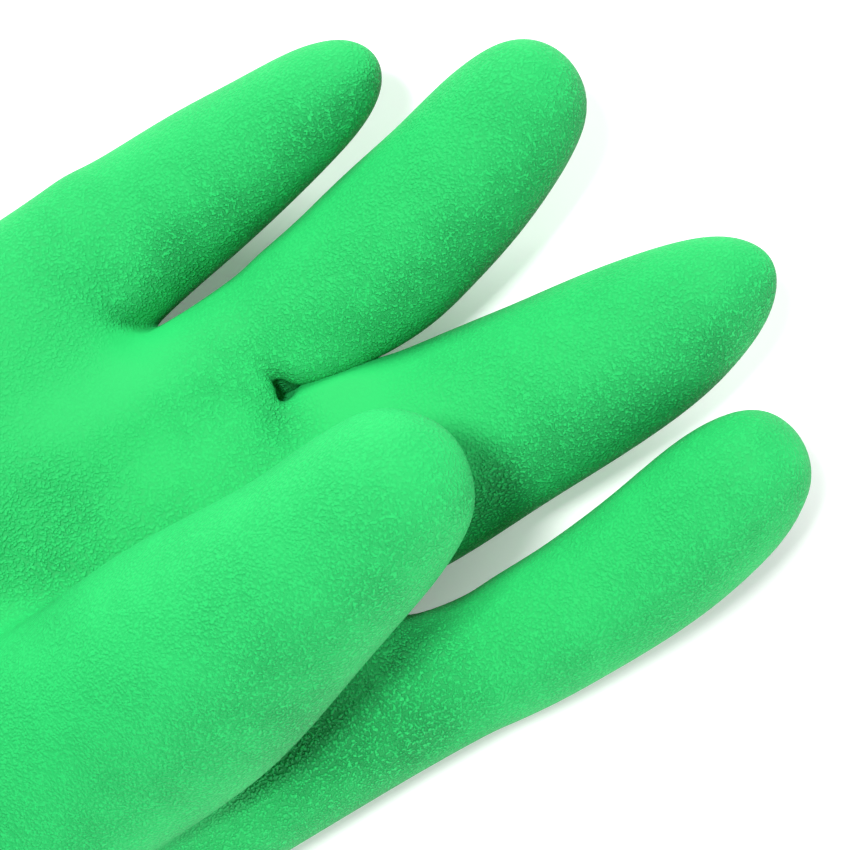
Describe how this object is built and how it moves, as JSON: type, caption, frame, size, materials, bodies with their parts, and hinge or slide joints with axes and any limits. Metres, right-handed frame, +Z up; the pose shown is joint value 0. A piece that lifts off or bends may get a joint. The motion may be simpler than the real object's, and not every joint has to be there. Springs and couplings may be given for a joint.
{
  "type": "nitrile dishwashing glove",
  "caption": "Right-hand gauntlet glove dip-moulded in one piece of green nitrile rubber, hollow and open at the cuff, lying palm up with curled fingers",
  "frame": {"origin": "on the surface that the glove lies on, under the middle of its bounding box", "axes": "+Z up, out of the palm; +Y from the cuff to the fingertips; +X to the thumb side"},
  "size_m": [0.108, 0.33, 0.0799],
  "materials": {
    "nitrile": "matt"
  },
  "bodies": {
    "root": {"glove": "nitrile"}
  },
  "joints": []
}
